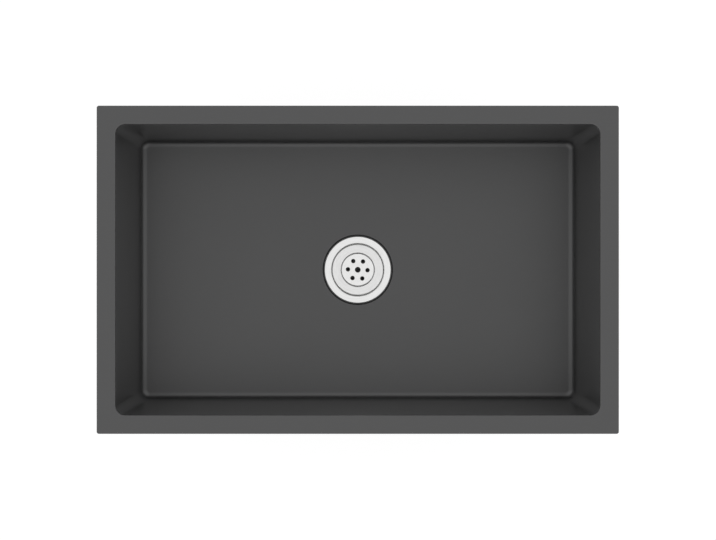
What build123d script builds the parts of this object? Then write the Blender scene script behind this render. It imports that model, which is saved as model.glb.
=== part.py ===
from build123d import *
import math
import os

# Undermount single-bowl kitchen sink with its strainer waste, in millimetres.
# The origin is the centre of the flange's top face: +X along the bowl, +Y to the back, +Z up.
# A bent sheet is drawn by its upper line, which runs outwards from the waste's axis.
# The sheet's other face lies to the right of that run.

# Bowl: the opening, the flange round it and the sheet it is pressed from
opening_length = 650.0
opening_width = 390.0
corner_radius = 13.0        # between two walls, inside
flange_border = 25.0
flange_corner_radius = 3.0
sheet = 1.2
rim_round = 2.0             # where the flange turns down into a wall
bowl_depth = 200.0          # flange top to the floor at the waste
wall_draw = 7.5             # how far a wall leans in from flange to floor
foot_bend = 9.0             # inside radius between wall and floor
floor_fall = 4.5            # fall of the floor from an end wall to the waste

# Recess in the floor for the waste
recess_gap = 3.1            # round the edge of the cup's flange
recess_slope = 70.0         # of the recess wall, degrees from level
floor_hole_gap = 1.1        # between the cup's mouth and the edge of the floor's hole

# Strainer cup
cup_sheet = 1.0
cup_flange_radius = 48.0
cup_sunk = 0.4              # cup flange below the edge of the recess
mouth_radius = 38.0
ledge_width = 3.6           # the strainer stands on this ledge
cup_depth = 44.0            # cup flange to the cup's bottom
cup_taper = 1.5             # how much narrower the cup is at its bottom
cup_foot = 4.0              # height and run of the cone between the cup's wall and bottom
outlet_count = 6
outlet_ring_radius = 20.5
outlet_width = 8.0
outlet_arc = 30.0           # degrees between the centres of a slot's round ends

# Lift-out strainer
strainer_sheet = 0.8
mouth_clearance = 0.6       # round the strainer's rim
strainer_sunk = 0.2         # strainer rim below the cup's flange
skirt_height = 2.2
rim_land = 1.9              # level rim outside the dish
dish_rise = 2.0
step_radius = 24.1          # middle of the step round the holed disc
step_run = 1.2
step_height = 2.0
drain_hole_count = 6
drain_hole_radius = 3.05
drain_hole_ring_radius = 14.3
drain_hole_turn = -2.5      # degrees, seen from above
centre_hole_radius = 4.0

# Seals
upper_seal_thickness = 1.5
upper_seal_setback = 1.0    # from the edge of the cup's flange
lower_seal_thickness = 3.0
lower_seal_setback = 1.0    # from the foot of the recess
seal_hole_gap = 1.0         # seal bores are wider than the floor's hole

# Moulded waste body
body_wall = 3.5
body_clearance = 1.5        # round the cup
body_flange_thickness = 4.0
body_flange_overhang = 1.0  # past the lower seal
funnel_drop = 4.5           # from the cup's underside to the funnel's upper edge
funnel_height = 12.5
outlet_radius = 23.9        # 1 1/2 inch pipe thread, outside
outlet_length = 26.0
collar_overhang = 2.2
collar_thickness = 3.0
hub_radius = 8.0
hub_gap = 1.0               # under the cup's bottom
hub_rib_count = 4
hub_rib_thickness = 2.6
hub_rib_drop = 3.0          # hub ribs below the top of the hub
gusset_count = 8
gusset_thickness = 2.4
gusset_height = 16.0
gusset_setback = 1.5        # from the edge of the body's flange

# Clamping screw, M6
screw_radius = 3.0
screw_length = 14.0
screw_head_radius = 5.5
screw_head_height = 3.5
screw_head_chamfer = 0.8
screw_slot_width = 1.6
screw_slot_depth = 1.8
screw_hole_gap = 0.4
thread_clearance = 0.05
washer_radius = 8.5
washer_thickness = 1.2
insert_radius = 4.8
insert_length = 12.0
insert_groove_width = 2.4
insert_groove_depth = 0.6

# Sound-deadening pads
pad_thickness = 3.0
pad_corner_radius = 6.0
floor_pad_width = 270.0
floor_pad_end_gap = 39.5    # pad to the foot of the end wall
floor_pad_waste_gap = 26.9  # pad to the edge of the recess
end_pad_length = 230.0      # on the left and right walls
side_pad_length = 440.0     # on the front and back walls
wall_pad_height = 110.0
wall_pad_level = -98.0      # middle of the wall pads

overrun = 1.0               # how far a cutting shape runs past what it cuts
same_place = 0.01           # how near an edge lies to where it is looked for

# Heights and radii that follow from these
cup_flange_top = -bowl_depth - cup_sunk
recess_top = cup_flange_top - cup_sheet - upper_seal_thickness
recess_underside = recess_top - sheet
recess_depth = -bowl_depth - recess_top
shoulder_radius = cup_flange_radius + recess_gap
recess_foot_radius = shoulder_radius - recess_depth / math.tan(math.radians(recess_slope))
foot_distance = opening_length / 2 - wall_draw
floor_slope = floor_fall / (foot_distance - shoulder_radius)
floor_reach = opening_length / 2 + opening_width / 2
floor_pad_near = shoulder_radius + floor_pad_waste_gap
floor_pad_length = foot_distance - floor_pad_end_gap - floor_pad_near
floor_pad_offset = floor_pad_near + floor_pad_length / 2
floor_high = -bowl_depth + floor_slope * floor_reach
cup_mouth_outside = mouth_radius + cup_sheet
floor_hole_radius = cup_mouth_outside + floor_hole_gap
seal_hole_radius = floor_hole_radius + seal_hole_gap
rim_top = cup_flange_top - strainer_sunk
ledge_top = rim_top - skirt_height
ledge_edge_radius = mouth_radius - ledge_width
cup_bottom_radius = ledge_edge_radius - cup_taper
cup_bottom = cup_flange_top - cup_depth
cup_underside = cup_bottom - cup_sheet
lower_seal_radius = recess_foot_radius - lower_seal_setback
body_top = recess_underside - lower_seal_thickness
body_flange_radius = lower_seal_radius + body_flange_overhang
body_bore_radius = ledge_edge_radius + cup_sheet + body_clearance
body_throat_radius = cup_bottom_radius + cup_sheet + body_clearance
funnel_top = cup_underside - funnel_drop
funnel_bottom = funnel_top - funnel_height
outlet_end = funnel_bottom - outlet_length
outlet_bore_radius = outlet_radius - body_wall
hub_top = cup_underside - hub_gap
screw_hole_radius = screw_radius + screw_hole_gap
washer_top = cup_bottom + washer_thickness


def bent_line(points, depth, thickness, round_bends=()):
    """Corner points and corner radii of a bent sheet's line, at a depth into the sheet.

    A bend is a crease, unless its number along the line is in round_bends: that one is round outside.
    """
    corners = [Vector(*point) for point in points]
    runs = [(b - a).normalized() for a, b in zip(corners, corners[1:])]
    across = [Vector(run.Y, -run.X) for run in runs]
    line = [corners[0] + across[0] * depth]
    radii = [0.0] * len(corners)
    for number, (corner, before, after) in enumerate(zip(corners[1:-1], across, across[1:]), start=1):
        line.append(corner + (before + after) * (depth / (1 + before.dot(after))))
        if number in round_bends:
            turns_left = before.cross(after).Z > 0
            radii[number] = depth if turns_left else thickness - depth
    line.append(corners[-1] + across[-1] * depth)
    return line, radii


def turned(points, radii):
    """Solid of revolution about the waste's axis, from a closed outline in radius and height."""
    outline = FilletPolyline(*points, radius=radii, close=True)
    return revolve(Plane.XZ * make_face(outline), Axis.Z)


def turned_sheet(points, thickness, round_bends=()):
    """A bent sheet turned about the waste's axis."""
    upper, upper_radii = bent_line(points, 0, thickness, round_bends)
    lower, lower_radii = bent_line(points, thickness, thickness, round_bends)
    return turned(upper + lower[::-1], upper_radii + lower_radii[::-1])


def inside_line(points, depth, thickness):
    """The solid between the waste's axis and a bent sheet's line, closed straight across its ends."""
    line, radii = bent_line(points, depth, thickness)
    ends = [Vector(0, line[-1].Y), Vector(0, line[0].Y)]
    return turned(line + ends, radii + [0.0, 0.0])


def disc(radius, top, thickness):
    """A flat disc on the waste's axis."""
    return extrude(Pos(0, 0, top - thickness) * Circle(radius), thickness)


def ring(outer, inner, top, thickness):
    """A flat ring round the waste's axis."""
    return disc(outer, top, thickness) - disc(inner, top, thickness)


def circles(body, radius, height):
    """Round edges of a radius at a height."""
    return [
        edge
        for edge in body.edges().filter_by(GeomType.CIRCLE)
        if abs(edge.radius - radius) < same_place and abs(edge.center().Z - height) < same_place
    ]


# Bowl

def floor_below(depth):
    """Everything under the bent sheet of the floor, at a depth into the sheet."""
    upper_line = [
        (0, recess_top),
        (recess_foot_radius, recess_top),
        (shoulder_radius, -bowl_depth),
        (floor_reach, floor_high - floor_slope * shoulder_radius),
    ]
    line, radii = bent_line(upper_line, depth, sheet, round_bends=(2,))
    base = recess_underside - sheet - pad_thickness - foot_bend
    ends = [Vector(line[-1].X, base), Vector(0, base)]
    return turned(line + ends, radii + [0.0, 0.0])


def bowl_core(grow, top):
    """The space inside the bowl, or with its walls when grown by the sheet."""
    deep = recess_underside - overrun
    outline = Rectangle(opening_length + 2 * grow, opening_width + 2 * grow)
    block = extrude(Pos(0, 0, deep) * outline, top - deep)
    walls = block.faces().filter_by(Axis.Z, reverse=True)
    core = draft(walls, Plane.XY, -math.degrees(math.atan(wall_draw / bowl_depth)))
    corners = [edge for edge in core.edges() if deep < edge.center().Z - overrun and edge.center().Z < -overrun]
    core = fillet(corners, corner_radius + grow)
    core -= floor_below(grow)
    foot_reach = opening_width / 2 - wall_draw - foot_bend
    foot = [
        edge
        for edge in core.edges()
        if edge.center().Z < floor_high and math.hypot(edge.center().X, edge.center().Y) > foot_reach
    ]
    return fillet(foot, foot_bend + grow)


def rim_edges(body):
    """Edges where the walls' inside faces meet the flange's top face."""
    half_length = opening_length / 2 + sheet
    half_width = opening_width / 2 + sheet
    return [
        edge
        for edge in body.edges()
        if abs(edge.center().Z) < same_place
        and abs(edge.center().X) < half_length
        and abs(edge.center().Y) < half_width
    ]


def make_bowl():
    flange_length = opening_length + 2 * flange_border
    flange_width = opening_width + 2 * flange_border
    flange = RectangleRounded(flange_length, flange_width, flange_corner_radius)
    body = extrude(Pos(0, 0, -sheet) * flange, sheet) + bowl_core(sheet, 0)
    body -= bowl_core(0, overrun)
    body -= disc(floor_hole_radius, recess_top + overrun, sheet + 2 * overrun)
    return fillet(rim_edges(body), rim_round)


# Pads

def floor_pad(side):
    """Pad stuck under the floor, with its top on the floor's slope."""
    outline = RectangleRounded(floor_pad_length, floor_pad_width, pad_corner_radius)
    base = recess_underside - pad_thickness
    block = extrude(Pos(side * floor_pad_offset, 0, base) * outline, floor_high - base)
    under_floor = floor_below(sheet)
    return (block & under_floor) - Pos(0, 0, -pad_thickness) * under_floor


def wall_pad(side_x, side_y, length):
    """Pad stuck on a wall's outside face, square to its lean."""
    inset = wall_draw * -wall_pad_level / bowl_depth - sheet
    origin = (side_x * (opening_length / 2 - inset), side_y * (opening_width / 2 - inset), wall_pad_level)
    outwards = (side_x * bowl_depth, side_y * bowl_depth, -wall_draw)
    face = Plane(origin, x_dir=(-side_y, side_x, 0), z_dir=outwards)
    return extrude(face * RectangleRounded(length, wall_pad_height, pad_corner_radius), pad_thickness)


# Waste

def make_strainer_cup():
    line = [
        (0, cup_bottom),
        (cup_bottom_radius - cup_foot, cup_bottom),
        (cup_bottom_radius, cup_bottom + cup_foot),
        (ledge_edge_radius, ledge_top),
        (mouth_radius, ledge_top),
        (mouth_radius, cup_flange_top),
        (cup_flange_radius, cup_flange_top),
    ]
    cup = turned_sheet(line, cup_sheet, round_bends=(5,))
    cup -= disc(screw_hole_radius, cup_bottom + overrun, cup_sheet + 2 * overrun)
    slot = SlotArc(CenterArc((0, 0), outlet_ring_radius, -outlet_arc / 2, outlet_arc), outlet_width)
    cutter = extrude(Pos(0, 0, cup_underside - overrun) * slot, cup_sheet + 2 * overrun)
    for index in range(outlet_count):
        cup -= Rot(0, 0, index * 360 / outlet_count) * cutter
    return cup


def make_strainer():
    rim_radius = mouth_radius - mouth_clearance
    step_top = rim_top - dish_rise
    disc_top = step_top - step_height
    line = [
        (0, disc_top),
        (step_radius - step_run / 2, disc_top),
        (step_radius + step_run / 2, step_top),
        (rim_radius - rim_land, rim_top),
        (rim_radius, rim_top),
        (rim_radius, ledge_top),
    ]
    strainer = turned_sheet(line, strainer_sheet, round_bends=(4,))
    depth = strainer_sheet + 2 * overrun
    strainer -= disc(centre_hole_radius, disc_top + overrun, depth)
    for index in range(drain_hole_count):
        place = Rot(0, 0, drain_hole_turn + index * 360 / drain_hole_count)
        hole = Pos(drain_hole_ring_radius, 0, 0) * disc(drain_hole_radius, disc_top + overrun, depth)
        strainer -= place * hole
    return strainer


def spokes(count, reach, thickness, top, height):
    """Upright ribs that run out from the waste's axis."""
    rib = Pos(reach / 2, 0, top - height / 2) * Box(reach, thickness, height)
    return Part() + [Rot(0, 0, index * 360 / count) * rib for index in range(count)]


def make_waste_body():
    line = [
        (outlet_bore_radius, outlet_end),
        (outlet_bore_radius, funnel_bottom),
        (body_throat_radius, funnel_top),
        (body_bore_radius, body_top),
    ]
    body = turned_sheet(line, body_wall)
    hollow = inside_line(line, 0, body_wall)
    filled = inside_line(line, body_wall / 2, body_wall)

    flange = ring(body_flange_radius, body_bore_radius, body_top, body_flange_thickness)
    collar = ring(outlet_radius + collar_overhang, outlet_bore_radius, funnel_bottom, collar_thickness)
    body += [flange, collar]

    hub_height = hub_top - funnel_bottom
    hub = disc(hub_radius, hub_top, hub_height)
    rib_height = hub_height - hub_rib_drop
    ribs = spokes(hub_rib_count, body_bore_radius + body_wall, hub_rib_thickness, hub_top - hub_rib_drop, rib_height)
    body += (hub + ribs) & filled
    body -= disc(insert_radius, hub_top + overrun, insert_length + overrun)

    gusset_top = body_top - body_flange_thickness / 2
    gusset_reach = body_flange_radius - gusset_setback
    gussets = spokes(gusset_count, gusset_reach, gusset_thickness, gusset_top, gusset_height)
    gussets -= gusset_trim(gusset_reach, gusset_top)
    gussets -= hollow
    return body + gussets


def gusset_trim(reach, top):
    """Cone that slopes the gussets from the flange's edge down to the body's wall."""
    foot_radius = body_throat_radius + body_wall / 2
    foot = top - gusset_height
    points = [
        (foot_radius, foot),
        (reach, top - body_flange_thickness),
        (reach + overrun, top - body_flange_thickness),
        (reach + overrun, foot - overrun),
        (foot_radius, foot - overrun),
    ]
    return turned([Vector(*point) for point in points], [0.0] * len(points))


def make_screw():
    head_top = washer_top + screw_head_height
    head = disc(screw_head_radius, head_top, screw_head_height)
    head = chamfer(circles(head, screw_head_radius, head_top), screw_head_chamfer)
    slot = Box(2 * screw_head_radius, screw_slot_width, 2 * screw_slot_depth)
    head -= Pos(0, 0, head_top) * slot
    return head + disc(screw_radius, washer_top + overrun, screw_length + overrun)


def make_insert():
    bore = screw_radius + thread_clearance
    insert = ring(insert_radius, bore, hub_top, insert_length)
    groove_top = hub_top - (insert_length - insert_groove_width) / 2
    groove = ring(insert_radius, insert_radius - insert_groove_depth, groove_top, insert_groove_width)
    return insert - groove


parts = {
    "sink_bowl": make_bowl(),
    "floor_pad_left": floor_pad(-1),
    "floor_pad_right": floor_pad(1),
    "wall_pad_left": wall_pad(-1, 0, end_pad_length),
    "wall_pad_right": wall_pad(1, 0, end_pad_length),
    "wall_pad_front": wall_pad(0, -1, side_pad_length),
    "wall_pad_back": wall_pad(0, 1, side_pad_length),
    "upper_seal": ring(
        cup_flange_radius - upper_seal_setback, seal_hole_radius, recess_top + upper_seal_thickness,
        upper_seal_thickness,
    ),
    "lower_seal": ring(lower_seal_radius, seal_hole_radius, recess_underside, lower_seal_thickness),
    "strainer_cup": make_strainer_cup(),
    "lift_out_strainer": make_strainer(),
    "waste_body": make_waste_body(),
    "threaded_insert": make_insert(),
    "screw_washer": ring(washer_radius, screw_hole_radius, washer_top, washer_thickness),
    "centre_screw": make_screw(),
}

os.makedirs("parts", exist_ok=True)
for name, shape in parts.items():
    export_step(shape, f"parts/{name}.step")
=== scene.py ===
import bmesh
import bpy
import math
from mathutils import Matrix, Vector


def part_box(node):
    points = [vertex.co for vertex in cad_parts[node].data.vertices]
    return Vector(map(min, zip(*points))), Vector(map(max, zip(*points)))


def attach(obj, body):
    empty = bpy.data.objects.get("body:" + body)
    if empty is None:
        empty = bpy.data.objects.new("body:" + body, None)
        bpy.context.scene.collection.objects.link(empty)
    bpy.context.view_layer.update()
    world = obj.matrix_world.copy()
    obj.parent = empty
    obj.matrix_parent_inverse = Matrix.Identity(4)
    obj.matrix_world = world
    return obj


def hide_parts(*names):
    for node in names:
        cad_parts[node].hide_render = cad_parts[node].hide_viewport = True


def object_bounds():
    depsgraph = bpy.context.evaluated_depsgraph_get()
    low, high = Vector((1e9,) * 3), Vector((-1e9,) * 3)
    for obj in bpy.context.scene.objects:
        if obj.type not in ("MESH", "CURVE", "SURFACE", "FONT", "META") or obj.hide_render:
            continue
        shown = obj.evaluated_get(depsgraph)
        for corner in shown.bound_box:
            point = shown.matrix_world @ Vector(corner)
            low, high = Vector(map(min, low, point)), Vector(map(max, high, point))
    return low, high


# Undermount kitchen sink with its strainer waste. Metres, +Z up, origin in the middle of the flange's top.
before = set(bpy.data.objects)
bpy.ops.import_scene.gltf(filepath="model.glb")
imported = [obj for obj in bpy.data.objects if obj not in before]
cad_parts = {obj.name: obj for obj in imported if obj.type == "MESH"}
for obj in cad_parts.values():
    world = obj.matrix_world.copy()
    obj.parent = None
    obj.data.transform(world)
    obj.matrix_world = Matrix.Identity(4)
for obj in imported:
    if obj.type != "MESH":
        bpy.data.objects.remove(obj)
cad_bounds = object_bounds()

# Bowl
bowl_low, bowl_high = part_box("sink_bowl")
FLANGE_BORDER = 0.025
FLANGE_CORNER = 0.003
CORNER_RADIUS = 0.013
SHEET = 0.0012
RIM_ROUND = 0.002
BOWL_DEPTH = 0.200
WALL_DRAW = 0.0075
END_WALL_DRAW = 0.0094       # the photograph shows the end walls leaning a little more
FOOT_BEND = 0.009
FLOOR_FALL = 0.0045
RECESS_GAP = 0.0031
RECESS_SLOPE = math.radians(70)
FLOOR_HOLE_GAP = 0.0011
SHOULDER_LEAD = 0.004
half_length = bowl_high.x - FLANGE_BORDER
half_width = bowl_high.y - FLANGE_BORDER
wall_lean = WALL_DRAW / BOWL_DEPTH
end_wall_lean = END_WALL_DRAW / BOWL_DEPTH

# Strainer cup and strainer
cup_low, cup_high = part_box("strainer_cup")
strainer_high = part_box("lift_out_strainer")[1]
CUP_SHEET = 0.001
MOUTH_RADIUS = 0.038
LEDGE_WIDTH = 0.0036
CUP_TAPER = 0.0015
CUP_FOOT = 0.004
MOUTH_ROUND = 0.0020
CUP_BENDS = (0.003, 0.003, 0.0005, 0.0005, MOUTH_ROUND)      # radii from the bottom up
CUP_EDGE = 0.0004
CUP_FLAT_MARGIN = 0.0015
OUTLET_COUNT = 6
OUTLET_RING_RADIUS = 0.0205
OUTLET_WIDTH = 0.008
OUTLET_ARC = math.radians(30)
STRAINER_SHEET = 0.0008
STRAINER_BENDS = (0.0019, 0.0019, 0.001, 0.0016)             # radii from the middle outwards
STRAINER_EDGE = 0.00035
FLAT_MARGIN = 0.002          # level ring between a bend and the holes
SKIRT_HEIGHT = 0.0022
RIM_LAND = 0.0019
DISH_RISE = 0.002
STEP_RADIUS = 0.0241
STEP_RUN = 0.0015
STEP_HEIGHT = 0.0020
DRAIN_HOLE_COUNT = 6
DRAIN_HOLE_RADIUS = 0.00305
DRAIN_HOLE_RING_RADIUS = 0.0143
DRAIN_HOLE_TURN = math.radians(-2.5)
CENTRE_HOLE_RADIUS = 0.004

cup_radius = cup_high.x
cup_top = cup_high.z
cup_bottom = cup_low.z + CUP_SHEET
strainer_radius = strainer_high.x
strainer_top = strainer_high.z
ledge_top = strainer_top - SKIRT_HEIGHT
ledge_edge = MOUTH_RADIUS - LEDGE_WIDTH
cup_foot_radius = ledge_edge - CUP_TAPER
shoulder_radius = cup_radius + RECESS_GAP
recess_top = bowl_low.z + SHEET
recess_foot = shoulder_radius - (-BOWL_DEPTH - recess_top) / math.tan(RECESS_SLOPE)
floor_hole = MOUTH_RADIUS + CUP_SHEET + FLOOR_HOLE_GAP
floor_slope = FLOOR_FALL / (half_length - WALL_DRAW - shoulder_radius)

# Moulded waste body, seals and screw
body_low, body_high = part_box("waste_body")
BODY_WALL = 0.0035
BODY_CLEARANCE = 0.0015
BODY_FLANGE = 0.004
FUNNEL_DROP = 0.0045
FUNNEL_HEIGHT = 0.0125
COLLAR_OVERHANG = 0.0022
COLLAR_THICKNESS = 0.003
OUTLET_RADIUS = 0.0239
THREAD_DEPTH = 0.00148
THREAD_PITCH = 0.00231
HUB_RADIUS = 0.008
HUB_RIB_COUNT = 4
HUB_RIB_THICKNESS = 0.0026
HUB_RIB_DROP = 0.003
HUB_RIB_OVERLAP = 0.001
GUSSET_COUNT = 8
GUSSET_THICKNESS = 0.0024
GUSSET_HEIGHT = 0.016
GUSSET_SETBACK = 0.0015
BODY_BENDS = {1: 0.002, 2: 0.002, 4: 0.0006, 5: 0.0006, 6: 0.002, 7: 0.003, 8: 0.0008, 9: 0.0006, 10: 0.0006,
              0: 0.0004, 3: 0.0004, 11: 0.0004}              # radii by the number of the station
THREAD_CLEAR_FOOT = 0.0008
THREAD_CLEAR_TOP = 0.001
SEAL_HOLE_GAP = 0.001
UPPER_SEAL_EDGE = 0.0004
LOWER_SEAL_EDGE = 0.0006
WASHER_EDGE = 0.00015
SCREW_RADIUS = 0.003
SCREW_PITCH = 0.001
SCREW_THREAD_DEPTH = 0.0006
SCREW_HEAD_RADIUS = 0.0055
SCREW_HEAD_HEIGHT = 0.0035
SCREW_SLOT_WIDTH = 0.0016
SCREW_SLOT_DEPTH = 0.0018
SCREW_HOLE_GAP = 0.0004
SCREW_POINT = 0.0006
SCREW_THREAD_START = 0.0002
SCREW_NECK = 0.0014
HEAD_DOME_HEIGHT = 0.001
HEAD_DOME_WIDTH = 0.0025
HEAD_SIDE_BEND = 0.0012
HEAD_TOP_BEND = 0.003
SCREW_EDGE = 0.00012

# Sound-deadening pads
PAD_THICKNESS = 0.003
PAD_CORNER = 0.006
PAD_EDGE = 0.0007
WALL_PAD_HEIGHT = 0.110

# Meshes
TURN_STEPS = 168
HUB_STEPS = 64
SCREW_STEPS = 72
CORNER_STEPS = 10
SIDE_CUTS_LONG = 39
SIDE_CUTS_SHORT = 23
RIM_STEPS = 6
FOOT_STEPS = 10
WALL_CUTS = 7
FLOOR_CUTS = 6
PAD_CUTS = 12
CENTRE_HOLE_STEPS = 64
HOLE_STEPS = 48
SLOT_STEPS = 12
SAME_PLACE = 1e-6            # vertices this near are one
ON_STATION = 2e-5            # a vertex this near belongs to a station's ring
SHARP_BEND = math.radians(40)


# Mesh helpers

def floor_height(x, y):
    """Height of the bowl's floor, which falls to the waste as a shallow cone."""
    return floor_slope * (math.hypot(x, y) - shoulder_radius) - BOWL_DEPTH


def around(radius, turn, height=0.0):
    """Point at a radius and a turn round the waste's axis."""
    return Vector((radius * math.cos(turn), radius * math.sin(turn), height))


def loop_edges(verts):
    """Edges whose two ends are both among the vertices."""
    inside = set(verts)
    edges = dict.fromkeys(e for v in verts for e in v.link_edges)
    return [e for e in edges if e.verts[0] in inside and e.verts[1] in inside]


def rounded_outline(half_x, half_y, radius, cuts=(SIDE_CUTS_LONG, SIDE_CUTS_SHORT)):
    """Points round a level rectangle with round corners, anticlockwise from the middle of its +X side."""
    bm = bmesh.new()
    corners = [bm.verts.new((sx * half_x, sy * half_y, 0)) for sx, sy in ((1, 1), (-1, 1), (-1, -1), (1, -1))]
    bm.faces.new(corners)
    bmesh.ops.bevel(
        bm, geom=corners, offset=radius, affect="VERTICES", segments=CORNER_STEPS, profile=0.5, material=-1)
    bm.faces.ensure_lookup_table()
    bends = [loop.vert.co.copy() for loop in bm.faces[0].loops]
    if bm.faces[0].normal.z < 0:
        bends.reverse()
    bm.free()
    points = []
    for here, after in zip(bends, bends[1:] + bends[:1]):
        step = after - here
        cut_count = 0
        if step.length > radius:
            cut_count = cuts[0] if abs(step.x) > abs(step.y) else cuts[1]
        points += [here.lerp(after, k / (cut_count + 1)) for k in range(cut_count + 1)]
    start = max(range(len(points)), key=lambda i: (round(points[i].x, 6), -abs(points[i].y)))
    return points[start:] + points[:start]


def add_ring(bm, points):
    """Closed ring of edges through the points."""
    verts = [bm.verts.new(point) for point in points]
    edges = [bm.edges.new(pair) for pair in zip(verts, verts[1:] + verts[:1])]
    return verts, edges


def grow_ring(bm, ring, points, cuts=0, settle=None):
    """Extrude a ring of edges to as many points, by way of rings between them where asked."""
    verts, edges = ring
    starts = [v.co.copy() for v in verts]
    for k in range(1, cuts + 2):
        grown = bmesh.ops.extrude_edge_only(bm, edges=edges)["geom"]
        fresh = {item for item in grown if isinstance(item, bmesh.types.BMVert)}
        moved = []
        for old, start, point in zip(verts, starts, points):
            new = next(e.other_vert(old) for e in old.link_edges if e.other_vert(old) in fresh)
            new.co = start.lerp(Vector(point), k / (cuts + 1))
            if settle:
                new.co = settle(new.co)
            moved.append(new)
        verts = moved
        edges = [bm.edges.get(pair) for pair in zip(verts, verts[1:] + verts[:1])]
    return verts, edges


def turned_surface(bm, stations, closed=False, steps=TURN_STEPS):
    """Spin a line of (radius, height) stations once round the waste's axis."""
    before = set(bm.verts)
    line = [bm.verts.new((radius, 0, height)) for radius, height in stations]
    edges = [bm.edges.new(pair) for pair in zip(line, line[1:])]
    if closed:
        edges.append(bm.edges.new((line[-1], line[0])))
    bmesh.ops.spin(
        bm, geom=line + edges, cent=(0, 0, 0), axis=(0, 0, 1), dvec=(0, 0, 0),
        angle=2 * math.pi, steps=steps, use_merge=True, use_duplicate=False)
    turned = [v for v in bm.verts if v not in before]
    bmesh.ops.remove_doubles(bm, verts=turned, dist=SAME_PLACE)


def ring_at(bm, station):
    """Vertices of the ring at a (radius, height) station."""
    radius, height = station
    return [
        v for v in bm.verts
        if abs(math.hypot(v.co.x, v.co.y) - radius) < ON_STATION and abs(v.co.z - height) < ON_STATION]


def round_ring(bm, station, radius, segments=4):
    """Round the bend of a turned surface at a station."""
    edges = [e for e in loop_edges(ring_at(bm, station)) if len(e.link_faces) == 2]
    turn = edges[0].calc_face_angle()
    bmesh.ops.bevel(
        bm, geom=edges, offset=radius * math.tan(turn / 2), offset_type="OFFSET", affect="EDGES",
        segments=segments, profile=0.5, material=-1)


def circle_loop(bm, radius, centre, segments):
    """Ring of edges on a level circle."""
    made = bmesh.ops.create_circle(
        bm, cap_ends=False, segments=segments, radius=radius, matrix=Matrix.Translation(centre))
    return loop_edges(made["verts"])


def fill_flat(bm, edges):
    """Fill a level outline with holes in it."""
    return bmesh.ops.triangle_fill(bm, use_beauty=True, use_dissolve=False, edges=edges, normal=(0, 0, 1))


def wall_up(piece, thickness, offset=-1.0, material_step=0):
    """Give a surface its sheet's thickness."""
    wall = piece.modifiers.new("sheet", "SOLIDIFY")
    wall.thickness = thickness
    wall.offset = offset
    wall.use_even_offset = True
    wall.material_offset = material_step


def soften(piece, width, segments=2):
    """Round the sharp edges of a piece a little."""
    edge = piece.modifiers.new("edges", "BEVEL")
    edge.width = width
    edge.segments = segments
    edge.limit_method = "ANGLE"
    edge.angle_limit = SHARP_BEND
    edge.harden_normals = False


def apply_modifiers(piece):
    """Keep the shape that the modifiers give and drop them."""
    graph = bpy.context.evaluated_depsgraph_get()
    mesh = bpy.data.meshes.new_from_object(piece.evaluated_get(graph), depsgraph=graph)
    mesh.name = piece.name
    piece.modifiers.clear()
    piece.data = mesh


def cut_with(piece, cutter_bm):
    """Cut a closed shape out of a piece."""
    mesh = bpy.data.meshes.new("cutter")
    cutter_bm.to_mesh(mesh)
    cutter_bm.free()
    cutter = bpy.data.objects.new("cutter", mesh)
    bpy.context.scene.collection.objects.link(cutter)
    cut = piece.modifiers.new("cut", "BOOLEAN")
    cut.operation = "DIFFERENCE"
    cut.solver = "EXACT"
    cut.object = cutter
    apply_modifiers(piece)
    bpy.data.objects.remove(cutter)


def face_up(bm):
    """Make the faces of an open sheet agree, with the level ones facing up."""
    bmesh.ops.recalc_face_normals(bm, faces=bm.faces)
    if max(bm.faces, key=lambda face: face.calc_area() * abs(face.normal.z)).normal.z < 0:
        bmesh.ops.reverse_faces(bm, faces=bm.faces)


def make_piece(name, bm, *materials):
    """Turn a finished bmesh into an object with its materials."""
    mesh = bpy.data.meshes.new(name)
    bm.to_mesh(mesh)
    bm.free()
    for material in materials:
        mesh.materials.append(material)
    piece = bpy.data.objects.new(name, mesh)
    bpy.context.scene.collection.objects.link(piece)
    return piece


def fit(piece, body, slot, *nodes, crease=35):
    """Shade a piece, and let it ride on a body in place of its nodes."""
    if piece.modifiers:
        apply_modifiers(piece)
    piece.data.shade_smooth()
    piece.data.set_sharp_from_angle(angle=math.radians(crease))
    even = piece.modifiers.new("even_shading", "WEIGHTED_NORMAL")
    even.keep_sharp = True
    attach(piece, body)
    if nodes:
        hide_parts(*nodes)


# Materials

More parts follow.
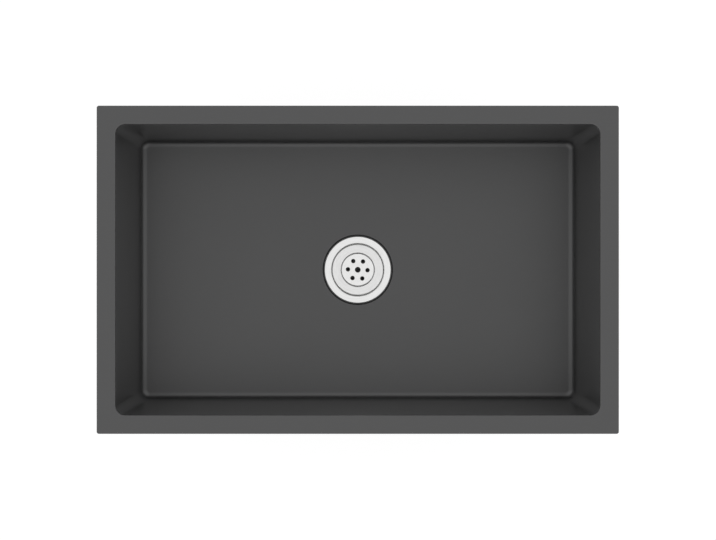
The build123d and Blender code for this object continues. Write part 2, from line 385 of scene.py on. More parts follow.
class Nodes:
    """Short hand for a material's node tree."""

    def __init__(self, name):
        self.material = bpy.data.materials.new(name)
        self.material.use_nodes = True
        self.tree = self.material.node_tree
        self.shader = self.tree.nodes["Principled BSDF"]

    def add(self, kind, **settings):
        node = self.tree.nodes.new(kind)
        for key, value in settings.items():
            setattr(node, key, value)
        return node

    def link(self, source, target):
        self.tree.links.new(source, target)

    def calculate(self, operation, *terms):
        """Maths node on outputs or constants."""
        node = self.add("ShaderNodeMath", operation=operation)
        for term, socket in zip(terms, node.inputs):
            if isinstance(term, bpy.types.NodeSocket):
                self.link(term, socket)
            else:
                socket.default_value = term
        return node.outputs[0]

    def place(self, scale):
        """Object coordinates, stretched."""
        coordinates = self.add("ShaderNodeTexCoord")
        mapping = self.add("ShaderNodeMapping")
        mapping.inputs["Scale"].default_value = scale
        self.link(coordinates.outputs["Object"], mapping.inputs["Vector"])
        return mapping.outputs["Vector"]

    def noise(self, vector, scale=1.0, detail=2.0, roughness=0.5):
        noise = self.add("ShaderNodeTexNoise")
        noise.inputs["Scale"].default_value = scale
        noise.inputs["Detail"].default_value = detail
        noise.inputs["Roughness"].default_value = roughness
        self.link(vector, noise.inputs["Vector"])
        return noise.outputs["Fac"]

    def spread(self, value, low, high, start=0.3, end=0.7):
        """Map a noise to a range."""
        ramp = self.add("ShaderNodeMapRange")
        ramp.inputs["From Min"].default_value = start
        ramp.inputs["From Max"].default_value = end
        ramp.inputs["To Min"].default_value = low
        ramp.inputs["To Max"].default_value = high
        self.link(value, ramp.inputs["Value"])
        return ramp.outputs["Result"]

    def tint(self, value, dark, light):
        """Colour between a darker and a lighter one."""
        mix = self.add("ShaderNodeMix", data_type="RGBA")
        # the colour sockets of a Mix node come after its number and vector ones
        mix.inputs[6].default_value = (*dark, 1)
        mix.inputs[7].default_value = (*light, 1)
        self.link(value, mix.inputs[0])
        self.link(mix.outputs[2], self.shader.inputs["Base Color"])

    def rough(self, value, low, high):
        """Roughness between a lower and a higher one."""
        self.link(self.spread(value, low, high), self.shader.inputs["Roughness"])

    def bump(self, height, distance):
        """Relief of a depth in metres."""
        bump = self.add("ShaderNodeBump")
        bump.inputs["Distance"].default_value = distance
        self.link(height, bump.inputs["Height"])
        self.link(bump.outputs["Normal"], self.shader.inputs["Normal"])

    def set(self, **values):
        """Constants on the shader's own sockets."""
        for key, value in values.items():
            self.shader.inputs[key.replace("_", " ")].default_value = value


def grain_along(nodes, length, width):
    """Brushed grain: along X, and along Y on the end walls."""
    runs = []
    for scale in ((1 / length, 1 / width, 1 / width), (1 / width, 1 / length, 1 / width)):
        runs.append(nodes.noise(nodes.place(scale)))
    geometry = nodes.add("ShaderNodeNewGeometry")
    split = nodes.add("ShaderNodeSeparateXYZ")
    nodes.link(geometry.outputs["True Normal"], split.inputs[0])
    on_end_wall = nodes.calculate("GREATER_THAN", nodes.calculate("ABSOLUTE", split.outputs["X"]), 0.7)
    mix = nodes.add("ShaderNodeMix", data_type="FLOAT")
    # the plain number sockets of a Mix node are its first, third and fourth
    nodes.link(on_end_wall, mix.inputs[0])
    nodes.link(runs[0], mix.inputs[2])
    nodes.link(runs[1], mix.inputs[3])
    return mix.outputs[0]


def round_the_axis(nodes, ring_width, spoke_width):
    """Coordinates for turned grain, in fine rings round the waste's axis."""
    coordinates = nodes.add("ShaderNodeTexCoord")
    split = nodes.add("ShaderNodeSeparateXYZ")
    nodes.link(coordinates.outputs["Object"], split.inputs[0])
    flat = nodes.add("ShaderNodeCombineXYZ")
    nodes.link(split.outputs["X"], flat.inputs["X"])
    nodes.link(split.outputs["Y"], flat.inputs["Y"])
    length = nodes.add("ShaderNodeVectorMath", operation="LENGTH")
    nodes.link(flat.outputs[0], length.inputs[0])
    across = nodes.add("ShaderNodeVectorMath", operation="SCALE")
    nodes.link(flat.outputs[0], across.inputs[0])
    across.inputs["Scale"].default_value = 1 / spoke_width
    turned = nodes.add("ShaderNodeCombineXYZ")
    nodes.link(nodes.calculate("MULTIPLY", length.outputs["Value"], 1 / ring_width), turned.inputs["X"])
    nodes.link(nodes.calculate("MULTIPLY", split.outputs["Z"], 1 / ring_width), turned.inputs["Z"])
    together = nodes.add("ShaderNodeVectorMath", operation="ADD")
    nodes.link(turned.outputs[0], together.inputs[0])
    nodes.link(across.outputs[0], together.inputs[1])
    return together.outputs[0]


def painted_wall_light(nodes, most):
    """Share of painted light, highest on the upright walls and nothing on level sheet."""
    geometry = nodes.add("ShaderNodeNewGeometry")
    split = nodes.add("ShaderNodeSeparateXYZ")
    nodes.link(geometry.outputs["Normal"], split.inputs[0])
    return nodes.spread(nodes.calculate("ABSOLUTE", split.outputs["Z"]), most, 0, 0.08, 0.3)


def coated_steel():
    """Dark metallic coating over satin steel, with light painted onto the upright walls, which makes them lighter.
    """
    nodes = Nodes("coated_steel")
    cloud = nodes.noise(nodes.place((9, 9, 9)), detail=3.0)
    grain = grain_along(nodes, 0.030, 0.00022)
    grain_share, wall_light_share = 0.15, 0.7
    # painted light: the upright walls take a much lighter colour than the level sheet, for the light that falls on
    # them
    share = nodes.calculate("ADD", nodes.spread(grain, 0, grain_share), painted_wall_light(nodes, wall_light_share))
    nodes.tint(share, (0.0405, 0.0405, 0.0411), (0.0738, 0.0738, 0.0749))
    nodes.rough(cloud, 0.43, 0.47)
    nodes.bump(grain, 0.000004)
    nodes.set(Metallic=0.60, Coat_Weight=1.0, Coat_Roughness=0.35)
    return nodes.material


def undercoat():
    """Matte sprayed coat on the outside of the bowl, with a fine stipple."""
    nodes = Nodes("undercoat")
    stipple = nodes.noise(nodes.place((1, 1, 1)), scale=620, detail=3.0, roughness=0.6)
    cloud = nodes.noise(nodes.place((14, 14, 14)), detail=3.0)
    nodes.tint(nodes.spread(stipple, 0, 1, 0.35, 0.65), (0.108, 0.109, 0.112), (0.148, 0.149, 0.152))
    nodes.rough(cloud, 0.72, 0.82)
    nodes.bump(stipple, 0.00022)
    nodes.set(Specular_IOR_Level=0.35)
    return nodes.material


def satin_steel(name, dark, light, roughness):
    """Steel with turned grain round the waste's axis."""
    nodes = Nodes(name)
    grain = nodes.noise(round_the_axis(nodes, 0.00016, 0.012), detail=2.0)
    streaks = nodes.noise(round_the_axis(nodes, 0.0011, 0.010), detail=3.0)
    nodes.tint(nodes.spread(streaks, 0, 1), dark, light)
    nodes.rough(grain, *roughness)
    nodes.bump(grain, 0.000002)
    nodes.set(Metallic=1.0)
    return nodes.material


def bright_steel():
    """Polished lands of the waste."""
    return satin_steel("bright_steel", (0.77, 0.77, 0.765), (0.85, 0.85, 0.845), (0.26, 0.34))


def brushed_steel_and_shade():
    """The strainer's dish: brushed rougher than its lands, with a slightly darker colour that is painted shade for
    the dish's slope.
    """
    return satin_steel("brushed_steel_and_shade", (0.745, 0.745, 0.74), (0.825, 0.825, 0.82), (0.33, 0.42))


def drawn_steel_and_shade():
    """Dull deep-drawn steel inside the cup, its colour darkened with painted shade for the hollow of the cup and
    the gap round the strainer.
    """
    nodes = Nodes("drawn_steel_and_shade")
    grain = nodes.noise(nodes.place((900, 900, 60)), detail=2.0)
    cloud = nodes.noise(nodes.place((70, 70, 70)), detail=3.0)
    # painted shade: a colour far darker than the steel's own, standing in for the shade inside the cup
    nodes.tint(nodes.spread(cloud, 0, 1), (0.23, 0.23, 0.228), (0.29, 0.29, 0.287))
    nodes.rough(cloud, 0.62, 0.72)
    nodes.bump(grain, 0.00001)
    nodes.set(Metallic=1.0)
    return nodes.material


def screw_steel():
    """Machined steel, darkened with painted shade for the shadow in the strainer's centre hole."""
    nodes = Nodes("screw_steel")
    grain = nodes.noise(round_the_axis(nodes, 0.0001, 0.004), detail=2.0)
    # painted shade: this dark colour stands in for the shadow in the centre hole, not the colour of machined steel
    nodes.tint(nodes.spread(grain, 0, 1), (0.12, 0.12, 0.12), (0.16, 0.16, 0.16))
    nodes.rough(grain, 0.45, 0.55)
    nodes.bump(grain, 0.000003)
    nodes.set(Metallic=1.0)
    return nodes.material


def insert_brass():
    """Turned brass."""
    nodes = Nodes("insert_brass")
    grain = nodes.noise(round_the_axis(nodes, 0.0001, 0.004), detail=2.0)
    nodes.tint(nodes.spread(grain, 0, 1), (0.66, 0.48, 0.22), (0.76, 0.58, 0.30))
    nodes.rough(grain, 0.25, 0.4)
    nodes.bump(grain, 0.000003)
    nodes.set(Metallic=1.0)
    return nodes.material


def sound_pad():
    """Dark rubber sheet with a pressed fine texture."""
    nodes = Nodes("sound_pad")
    cells = nodes.add("ShaderNodeTexVoronoi")
    cells.inputs["Scale"].default_value = 900
    nodes.link(nodes.place((1, 1, 1)), cells.inputs["Vector"])
    cloud = nodes.noise(nodes.place((25, 25, 25)), detail=4.0)
    nodes.tint(
        nodes.spread(cells.outputs["Distance"], 0, 1, 0.1, 0.6), (0.034, 0.034, 0.036), (0.055, 0.055, 0.057))
    nodes.rough(cloud, 0.78, 0.9)
    nodes.bump(cells.outputs["Distance"], 0.0002)
    nodes.set(Specular_IOR_Level=0.35)
    return nodes.material


def seal_rubber():
    """Moulded black rubber."""
    nodes = Nodes("seal_rubber")
    cloud = nodes.noise(nodes.place((90, 90, 90)), detail=3.0)
    nodes.tint(nodes.spread(cloud, 0, 1), (0.024, 0.024, 0.024), (0.034, 0.034, 0.034))
    nodes.rough(cloud, 0.55, 0.7)
    nodes.bump(nodes.noise(nodes.place((1, 1, 1)), scale=1400), 0.00004)
    return nodes.material


def waste_plastic():
    """Moulded plastic with a fine spark-eroded grain."""
    nodes = Nodes("waste_plastic")
    cloud = nodes.noise(nodes.place((35, 35, 35)), detail=3.0)
    grain = nodes.noise(nodes.place((1, 1, 1)), scale=1800, detail=2.0)
    nodes.tint(nodes.spread(cloud, 0, 1), (0.044, 0.044, 0.046), (0.054, 0.054, 0.057))
    nodes.rough(cloud, 0.46, 0.56)
    nodes.bump(grain, 0.00005)
    return nodes.material


FINISH = {
    make.__name__: make()
    for make in (
        coated_steel, undercoat, bright_steel, brushed_steel_and_shade, drawn_steel_and_shade, screw_steel, insert_brass, sound_pad,
        seal_rubber, waste_plastic)
}


# Bowl

def wall_points(inset, radius, drop=0.0):
    """Outline of the leaning walls at a drop below the flange, drawn in by an inset."""
    half_x = half_length - end_wall_lean * drop - inset
    half_y = half_width - wall_lean * drop - inset
    return [Vector((point.x, point.y, -drop)) for point in rounded_outline(half_x, half_y, radius)]


def on_floor(point):
    """The point moved to the floor's height."""
    return Vector((point.x, point.y, floor_height(point.x, point.y)))


def make_bowl():
    """The pressed sheet, drawn from its outer edge inwards: flange, walls, foot bend, floor and recess."""
    bm = bmesh.new()
    ring = add_ring(bm, rounded_outline(bowl_high.x, bowl_high.y, FLANGE_CORNER))
    ring = grow_ring(bm, ring, wall_points(-RIM_ROUND, CORNER_RADIUS + RIM_ROUND), cuts=1)
    for step in range(1, RIM_STEPS + 1):
        turn = math.pi / 2 * step / RIM_STEPS
        grow = RIM_ROUND * (1 - math.sin(turn))
        drop = RIM_ROUND * (1 - math.cos(turn))
        ring = grow_ring(bm, ring, wall_points(-grow, CORNER_RADIUS + grow, drop))

    for step in range(FOOT_STEPS + 1):
        turn = math.pi / 2 * step / FOOT_STEPS
        rise = FOOT_BEND * (1 - math.sin(turn))
        inset = FOOT_BEND * (1 - math.cos(turn))
        points = [on_floor(point) for point in wall_points(inset, CORNER_RADIUS - inset, BOWL_DEPTH - rise)]
        for point in points:
            point.z += rise
        ring = grow_ring(bm, ring, points, cuts=0 if step else WALL_CUTS)

    turns = [k * math.tau / len(points) for k in range(len(points))]
    lead_radius = shoulder_radius + SHOULDER_LEAD
    ring = grow_ring(bm, ring, [around(lead_radius, turn) for turn in turns], cuts=FLOOR_CUTS, settle=on_floor)
    shoulder = (shoulder_radius, -BOWL_DEPTH)
    foot = (recess_foot, recess_top)
    for radius, height in (shoulder, foot, (floor_hole, recess_top)):
        ring = grow_ring(bm, ring, [around(radius, turn, height) for turn in turns])
    round_ring(bm, shoulder, SHEET)
    round_ring(bm, foot, SHEET)

    face_up(bm)
    piece = make_piece("pressed_bowl", bm, FINISH["coated_steel"], FINISH["undercoat"])
    wall_up(piece, SHEET, material_step=1)
    apply_modifiers(piece)
    # the undercoat stops under the flange
    for face in piece.data.polygons:
        if face.center.z > -2 * RIM_ROUND:
            face.material_index = 0
    fit(piece, "sink", "coated_steel", "sink_bowl", crease=50)


# Waste

def make_strainer():
    """Plate with a raised rim, a dish, a step and seven holes, up to its skirt."""
    step_top = strainer_top - DISH_RISE
    disc_top = step_top - STEP_HEIGHT
    disc_edge = STEP_RADIUS - STEP_RUN / 2
    stations = [
        (disc_edge - FLAT_MARGIN, disc_top),
        (disc_edge, disc_top),
        (STEP_RADIUS + STEP_RUN / 2, step_top),
        (strainer_radius - RIM_LAND, strainer_top),
        (strainer_radius, strainer_top),
        (strainer_radius, ledge_top),
    ]
    bm = bmesh.new()
    turned_surface(bm, stations)
    edges = loop_edges(ring_at(bm, stations[0]))
    edges += circle_loop(bm, CENTRE_HOLE_RADIUS, (0, 0, disc_top), CENTRE_HOLE_STEPS)
    for index in range(DRAIN_HOLE_COUNT):
        turn = DRAIN_HOLE_TURN + index * math.tau / DRAIN_HOLE_COUNT
        edges += circle_loop(bm, DRAIN_HOLE_RADIUS, around(DRAIN_HOLE_RING_RADIUS, turn, disc_top), HOLE_STEPS)
    fill_flat(bm, edges)
    for station, radius in zip(stations[1:-1], STRAINER_BENDS):
        round_ring(bm, station, radius)
    face_up(bm)
    dish = (STEP_RADIUS + STEP_RUN / 2, strainer_radius - RIM_LAND)
    # painted shade: the dish between the step and the rim takes the darker steel
    for face in bm.faces:
        middle = face.calc_center_median()
        face.material_index = 1 if dish[0] < math.hypot(middle.x, middle.y) < dish[1] else 0
    piece = make_piece("strainer_plate", bm, FINISH["bright_steel"], FINISH["brushed_steel_and_shade"])
    wall_up(piece, STRAINER_SHEET)
    soften(piece, STRAINER_EDGE, segments=3)
    fit(piece, "strainer", "bright_steel", "lift_out_strainer")


def arc_slot(bm, turn, height):
    """Ring of edges round a slot that follows the waste's axis, with round ends."""
    start, end = turn - OUTLET_ARC / 2, turn + OUTLET_ARC / 2
    half = OUTLET_WIDTH / 2
    shares = [k / SLOT_STEPS for k in range(SLOT_STEPS)]
    lift = Vector((0, 0, height))
    points = [around(OUTLET_RING_RADIUS + half, start + OUTLET_ARC * share) for share in shares]
    points += [around(OUTLET_RING_RADIUS, end) + around(half, end + math.pi * share) for share in shares]
    points += [around(OUTLET_RING_RADIUS - half, end - OUTLET_ARC * share) for share in shares]
    points += [around(OUTLET_RING_RADIUS, start) - around(half, start + math.pi * share) for share in shares]
    return add_ring(bm, [point + lift for point in points])[1]


def make_strainer_cup():
    """Deep-drawn cup with a flange, a ledge for the strainer and slots in its bottom."""
    flat_edge = cup_foot_radius - CUP_FOOT
    stations = [
        (flat_edge - CUP_FLAT_MARGIN, cup_bottom),
        (flat_edge, cup_bottom),
        (cup_foot_radius, cup_bottom + CUP_FOOT),
        (ledge_edge, ledge_top),
        (MOUTH_RADIUS, ledge_top),
        (MOUTH_RADIUS, cup_top),
        (cup_radius, cup_top),
    ]
    bm = bmesh.new()
    turned_surface(bm, stations)
    edges = loop_edges(ring_at(bm, stations[0]))
    edges += circle_loop(bm, SCREW_RADIUS + SCREW_HOLE_GAP, (0, 0, cup_bottom), HOLE_STEPS)
    for index in range(OUTLET_COUNT):
        edges += arc_slot(bm, index * math.tau / OUTLET_COUNT, cup_bottom)
    fill_flat(bm, edges)
    for station, radius in zip(stations[1:-1], CUP_BENDS):
        round_ring(bm, station, radius)
    face_up(bm)
    for face in bm.faces:
        # painted shade: the dark steel starts below the mouth's rounding, so the mouth wall in the gap round the
        # strainer is dark too
        face.material_index = 1 if face.calc_center_median().z < cup_top - MOUTH_ROUND else 0
    piece = make_piece("waste_cup", bm, FINISH["bright_steel"], FINISH["drawn_steel_and_shade"])
    wall_up(piece, CUP_SHEET)
    soften(piece, CUP_EDGE, segments=4)
    fit(piece, "sink", "bright_steel", "strainer_cup")


def ring_piece(name, node, inner_radius, softness, material):
    """Flat ring in place of a node, with softened edges."""
    low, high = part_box(node)
    stations = [(inner_radius, low.z), (high.x, low.z), (high.x, high.z), (inner_radius, high.z)]
    bm = bmesh.new()
    turned_surface(bm, stations, closed=True)
    bmesh.ops.recalc_face_normals(bm, faces=bm.faces)
    piece = make_piece(name, bm, FINISH[material])
    soften(piece, softness, segments=3)
    fit(piece, "sink", material, node)


def rib(bm, points, thickness, turn):
    """Upright plate from a (radius, height) outline, turned round the waste's axis."""
    verts = [bm.verts.new((radius, -thickness / 2, height)) for radius, height in points]
    face = bm.faces.new(verts)
    grown = bmesh.ops.extrude_face_region(bm, geom=[face])
    far = [v for v in grown["geom"] if isinstance(v, bmesh.types.BMVert)]
    bmesh.ops.translate(bm, verts=far, vec=(0, thickness, 0))
    bmesh.ops.rotate(bm, verts=verts + far, cent=(0, 0, 0), matrix=Matrix.Rotation(turn, 3, "Z"))


def thread_ridge(bm, root, crest, pitch, start, end, steps_per_turn=72):
    """Right-hand helical ridge, which runs out at both ends."""
    sunk = (crest - root) / 2
    before = set(bm.verts)
    outline = [(root - sunk, -0.45), (crest, -0.07), (crest, 0.07), (root - sunk, 0.45)]
    verts = [bm.verts.new((radius, 0, start + pitch * (0.5 + along))) for radius, along in outline]
    face = bm.faces.new(verts)
    turns = (end - start) / pitch - 1
    steps = round(turns * steps_per_turn)
    bmesh.ops.spin(
        bm, geom=[face], cent=(0, 0, 0), axis=(0, 0, 1), dvec=(0, 0, turns * pitch / steps),
        angle=turns * math.tau, steps=steps, use_merge=False, use_duplicate=False)
    for v in bm.verts:
        if v in before:
            continue
        radius = math.hypot(v.co.x, v.co.y)
        if radius > root:
            run_out = min(v.co.z - start, end - v.co.z) / pitch - 0.4
            share = min(1.0, max(0.0, run_out / 0.5))
            wanted = root + (crest - root) * share
            v.co.x *= wanted / radius
            v.co.y *= wanted / radius


def make_waste_body():
    """Moulded body with gussets, funnel, collar, threaded outlet and a hub on ribs."""
    bore = ledge_edge + CUP_SHEET + BODY_CLEARANCE
    throat = cup_foot_radius + CUP_SHEET + BODY_CLEARANCE
    funnel_top = cup_low.z - FUNNEL_DROP
    funnel_bottom = funnel_top - FUNNEL_HEIGHT
    outlet_bore = OUTLET_RADIUS - BODY_WALL
    root = OUTLET_RADIUS - THREAD_DEPTH
    collar = OUTLET_RADIUS + COLLAR_OVERHANG
    shoulder = BODY_WALL * 0.8
    stations = [
        (outlet_bore, body_low.z),
        (outlet_bore, funnel_bottom),
        (throat, funnel_top),
        (bore, body_high.z),
        (body_high.x, body_high.z),
        (body_high.x, body_high.z - BODY_FLANGE),
        (bore + BODY_WALL, body_high.z - BODY_FLANGE),
        (throat + BODY_WALL, funnel_top - shoulder / 2),
        (collar, funnel_bottom),
        (collar, funnel_bottom - COLLAR_THICKNESS),
        (root, funnel_bottom - COLLAR_THICKNESS),
        (root, body_low.z),
    ]
    bm = bmesh.new()
    turned_surface(bm, stations, closed=True)
    for index, radius in BODY_BENDS.items():
        round_ring(bm, stations[index], radius, segments=3)

    gusset_top = body_high.z - BODY_FLANGE / 2
    gusset = [
        (bore + BODY_WALL / 2, gusset_top),
        (body_high.x - GUSSET_SETBACK, gusset_top),
        (body_high.x - GUSSET_SETBACK, body_high.z - BODY_FLANGE),
        (throat + BODY_WALL / 2, gusset_top - GUSSET_HEIGHT),
    ]
    for index in range(GUSSET_COUNT):
        rib(bm, gusset, GUSSET_THICKNESS, index * math.tau / GUSSET_COUNT)

    hub_low, hub_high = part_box("threaded_insert")
    hub_top = hub_high.z
    hub = [
        (0, hub_low.z),
        (hub_high.x, hub_low.z),
        (hub_high.x, hub_top),
        (HUB_RADIUS, hub_top),
        (HUB_RADIUS, funnel_bottom),
        (0, funnel_bottom),
    ]
    turned_surface(bm, hub, steps=HUB_STEPS)
    web = [
        (HUB_RADIUS - HUB_RIB_OVERLAP, hub_top - HUB_RIB_DROP),
        (throat + BODY_WALL / 2, hub_top - HUB_RIB_DROP),
        (throat + BODY_WALL / 2, funnel_top),
        (outlet_bore + BODY_WALL / 2, funnel_bottom),
        (HUB_RADIUS - HUB_RIB_OVERLAP, funnel_bottom),
    ]
    for index in range(HUB_RIB_COUNT):
        rib(bm, web, HUB_RIB_THICKNESS, index * math.tau / HUB_RIB_COUNT)
    thread_ridge(
        bm, root, OUTLET_RADIUS, THREAD_PITCH, body_low.z + THREAD_CLEAR_FOOT,
        funnel_bottom - COLLAR_THICKNESS - THREAD_CLEAR_TOP)
    bmesh.ops.recalc_face_normals(bm, faces=bm.faces)
    piece = make_piece("moulded_waste_body", bm, FINISH["waste_plastic"])
    fit(piece, "sink", "waste_plastic", "waste_body", crease=40)


def make_screw():
    """Screw with a domed, slotted head and a thread."""
    low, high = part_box("centre_screw")
    under_head = high.z - SCREW_HEAD_HEIGHT
    root = SCREW_RADIUS - SCREW_THREAD_DEPTH
    stations = [
        (0, low.z),
        (root - SCREW_POINT, low.z),
        (root, low.z + SCREW_POINT),
        (root, under_head),
        (SCREW_HEAD_RADIUS, under_head),
        (SCREW_HEAD_RADIUS, high.z - HEAD_DOME_HEIGHT),
        (SCREW_HEAD_RADIUS - HEAD_DOME_WIDTH, high.z),
        (0, high.z),
    ]
    bm = bmesh.new()
    turned_surface(bm, stations, steps=SCREW_STEPS)
    round_ring(bm, stations[5], HEAD_SIDE_BEND)
    round_ring(bm, stations[6], HEAD_TOP_BEND)
    bmesh.ops.recalc_face_normals(bm, faces=bm.faces)
    piece = make_piece("slotted_screw", bm, FINISH["screw_steel"])
    slot = bmesh.new()
    bmesh.ops.create_cube(slot, size=1.0, matrix=Matrix.Translation((0, 0, high.z)) @ Matrix.Diagonal(
        (4 * SCREW_HEAD_RADIUS, SCREW_SLOT_WIDTH, 2 * SCREW_SLOT_DEPTH, 1)))
    cut_with(piece, slot)
    soften(piece, SCREW_EDGE)
    apply_modifiers(piece)
    bm = bmesh.new()
    bm.from_mesh(piece.data)
    thread_ridge(
        bm, root, SCREW_RADIUS, SCREW_PITCH, low.z + SCREW_THREAD_START, under_head - SCREW_NECK, steps_per_turn=40)
    bmesh.ops.recalc_face_normals(bm, faces=bm.faces)
    bm.to_mesh(piece.data)
    bm.free()
    fit(piece, "sink", "screw_steel", "centre_screw")


# Pads

def pad_outline(bm, length, width, corner):
    """Level face with round corners."""
    verts, edges = add_ring(bm, rounded_outline(length / 2, width / 2, corner, cuts=(0, 0)))
    bmesh.ops.contextual_create(bm, geom=edges)
    return verts


def make_wall_pad(name, node, side_x, side_y):
    """Pad that lies on the outside of a leaning wall."""
    low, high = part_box(node)
    middle = (low + high) / 2
    length = high.y - low.y if side_x else high.x - low.x
    lean = end_wall_lean if side_x else wall_lean
    middle.x += side_x * (lean - wall_lean) * middle.z
    bm = bmesh.new()
    pad_outline(bm, length, WALL_PAD_HEIGHT, PAD_CORNER)
    outwards = Vector((side_x, side_y, -lean)).normalized()
    along = Vector((-side_y, side_x, 0))
    turn = Matrix((along, outwards.cross(along), outwards)).transposed().to_4x4()
    place = Matrix.Translation(middle - outwards * PAD_THICKNESS / 2)
    bmesh.ops.transform(bm, matrix=place @ turn, verts=bm.verts)
    bmesh.ops.recalc_face_normals(bm, faces=bm.faces)
    for face in bm.faces:
        if face.normal.dot(outwards) < 0:
            face.normal_flip()
    piece = make_piece(name, bm, FINISH["sound_pad"])
    wall_up(piece, PAD_THICKNESS, offset=1.0)
    soften(piece, PAD_EDGE, segments=3)
    fit(piece, "sink", "sound_pad", node)


def make_floor_pad(name, node):
    """Pad under the floor, which follows the floor's fall."""
    low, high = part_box(node)
    middle = (low + high) / 2
    length, width = high.x - low.x, high.y - low.y
    bm = bmesh.new()
    pad_outline(bm, length, width, PAD_CORNER)
    for axis, size in ((0, length), (1, width)):
        normal = [0, 0, 0]
        normal[axis] = 1
        for index in range(1, PAD_CUTS):
            point = [0, 0, 0]
            point[axis] = size * (index / PAD_CUTS - 0.5)
            bmesh.ops.bisect_plane(
                bm, geom=bm.verts[:] + bm.edges[:] + bm.faces[:], plane_co=point, plane_no=normal)
    for v in bm.verts:
        v.co.x += middle.x
        v.co.y += middle.y
        v.co.z = floor_height(v.co.x, v.co.y) - SHEET
    for face in bm.faces:
        face.normal_update()
        if face.normal.z > 0:
            face.normal_flip()
    piece = make_piece(name, bm, FINISH["sound_pad"])
    wall_up(piece, PAD_THICKNESS, offset=1.0)
    soften(piece, PAD_EDGE, segments=3)
    fit(piece, "sink", "sound_pad", node)


# Studio

FLOOR_GAP = 0.0006
FLOOR_SIZE = 12.0
FLOOR_GLOW = 0.9
FLOOR_SHADE = 0.14
HORIZON_LIGHT = 1.35
OVERHEAD_LIGHT = 1.0
OVERHEAD_FROM = 0.8          # sine of the height from which the sky is even
CAMERA_HEIGHT = 2.225
SENSOR = 36.0
IMAGE_WIDTH = 716
RIM_PIXELS = 522.2           # length of the flange in the photograph
OFF_CENTRE = 0.24            # pixels left of and above the photograph's middle


def make_floor():
    """White floor under the sink, which the export leaves out."""
    bm = bmesh.new()
    bmesh.ops.create_grid(
        bm, x_segments=1, y_segments=1, size=FLOOR_SIZE / 2,
        matrix=Matrix.Translation((0, 0, cad_bounds[0][2] - FLOOR_GAP)))
    nodes = Nodes("studio_floor")
    nodes.set(Base_Color=(0.8, 0.8, 0.8, 1), Roughness=0.9, Specular_IOR_Level=0.1)
    # white where the camera or a reflection sees it, but dark inside the outlet that stands on it
    coordinates = nodes.add("ShaderNodeTexCoord")
    distance = nodes.add("ShaderNodeVectorMath", operation="LENGTH")
    nodes.link(coordinates.outputs["Object"], distance.inputs[0])
    clear = nodes.calculate(
        "GREATER_THAN", distance.outputs["Value"], math.hypot(OUTLET_RADIUS, cad_bounds[0][2] - FLOOR_GAP))
    glow = nodes.add("ShaderNodeEmission")
    nodes.link(nodes.calculate("MULTIPLY", clear, FLOOR_GLOW), glow.inputs["Strength"])
    paint = nodes.add("ShaderNodeBsdfDiffuse")
    paint.inputs["Color"].default_value = (FLOOR_SHADE, FLOOR_SHADE, FLOOR_SHADE, 1)
    both = nodes.add("ShaderNodeAddShader")
    nodes.link(glow.outputs[0], both.inputs[0])
    nodes.link(paint.outputs[0], both.inputs[1])
    path = nodes.add("ShaderNodeLightPath").outputs
    seen = nodes.calculate("MAXIMUM", path["Is Camera Ray"], path["Is Glossy Ray"])
    seen = nodes.calculate("MAXIMUM", seen, path["Is Transmission Ray"])
    mix = nodes.add("ShaderNodeMixShader")
    nodes.link(seen, mix.inputs[0])
    nodes.link(nodes.shader.outputs[0], mix.inputs[1])
    nodes.link(both.outputs[0], mix.inputs[2])
    # the floor is clear from below, so that the underside can be looked at
    geometry = nodes.add("ShaderNodeNewGeometry")
    one_sided = nodes.add("ShaderNodeMixShader")
    nodes.link(geometry.outputs["Backfacing"], one_sided.inputs[0])
    nodes.link(mix.outputs[0], one_sided.inputs[1])
    nodes.link(nodes.add("ShaderNodeBsdfTransparent").outputs[0], one_sided.inputs[2])
    nodes.link(one_sided.outputs[0], nodes.tree.nodes["Material Output"].inputs["Surface"])
    floor = make_piece("studio_floor", bm, nodes.material)


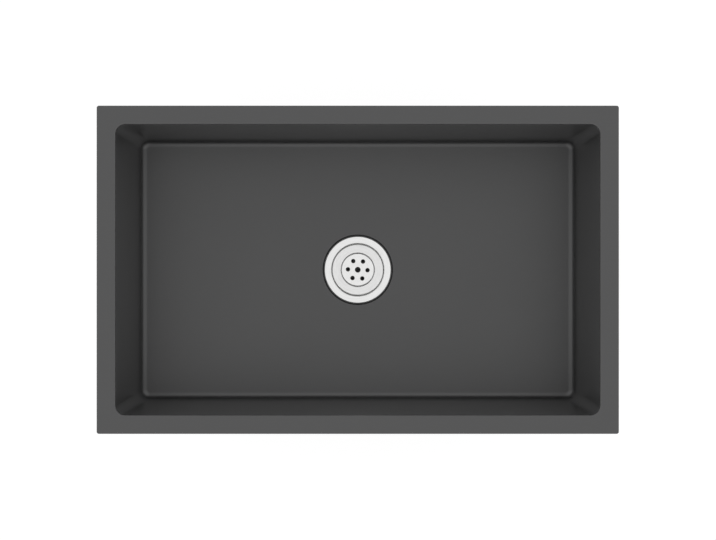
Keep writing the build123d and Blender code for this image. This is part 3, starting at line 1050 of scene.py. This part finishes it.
def light_studio():
    """White all round, a little brighter towards the horizon than overhead."""
    world = bpy.data.worlds.new("studio")
    world.use_nodes = True
    bpy.context.scene.world = world
    tree = world.node_tree
    direction = tree.nodes.new("ShaderNodeTexCoord")
    split = tree.nodes.new("ShaderNodeSeparateXYZ")
    ramp = tree.nodes.new("ShaderNodeMapRange")
    ramp.inputs["From Min"].default_value = 0.0
    ramp.inputs["From Max"].default_value = OVERHEAD_FROM
    ramp.inputs["To Min"].default_value = HORIZON_LIGHT
    ramp.inputs["To Max"].default_value = OVERHEAD_LIGHT
    sky = tree.nodes["Background"]
    sky.inputs["Color"].default_value = (1, 1, 1, 1)
    tree.links.new(direction.outputs["Generated"], split.inputs[0])
    tree.links.new(split.outputs["Z"], ramp.inputs["Value"])
    tree.links.new(ramp.outputs["Result"], sky.inputs["Strength"])


def place_camera():
    """Straight above the sink, at the photograph's scale."""
    lens = bpy.data.cameras.new("camera")
    lens.sensor_width = SENSOR
    lens.lens = SENSOR * CAMERA_HEIGHT / (2 * bowl_high.x) * RIM_PIXELS / IMAGE_WIDTH
    lens.shift_x = OFF_CENTRE / IMAGE_WIDTH
    lens.shift_y = -OFF_CENTRE / IMAGE_WIDTH
    camera = bpy.data.objects.new("camera", lens)
    camera.location = (0, 0, CAMERA_HEIGHT)
    bpy.context.scene.collection.objects.link(camera)
    bpy.context.scene.camera = camera


make_bowl()
make_strainer()
make_strainer_cup()
ring_piece("upper_gasket", "upper_seal", floor_hole + SEAL_HOLE_GAP, UPPER_SEAL_EDGE, "seal_rubber")
ring_piece("lower_gasket", "lower_seal", floor_hole + SEAL_HOLE_GAP, LOWER_SEAL_EDGE, "seal_rubber")
ring_piece("plain_washer", "screw_washer", SCREW_RADIUS + SCREW_HOLE_GAP, WASHER_EDGE, "screw_steel")
make_waste_body()
make_screw()
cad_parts["threaded_insert"].data.materials.clear()
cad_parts["threaded_insert"].data.materials.append(FINISH["insert_brass"])
make_wall_pad("left_wall_pad", "wall_pad_left", -1, 0)
make_wall_pad("right_wall_pad", "wall_pad_right", 1, 0)
make_wall_pad("front_wall_pad", "wall_pad_front", 0, -1)
make_wall_pad("back_wall_pad", "wall_pad_back", 0, 1)
make_floor_pad("left_floor_pad", "floor_pad_left")
make_floor_pad("right_floor_pad", "floor_pad_right")
make_floor()
light_studio()
place_camera()
bpy.context.scene.view_settings.view_transform = "Standard"
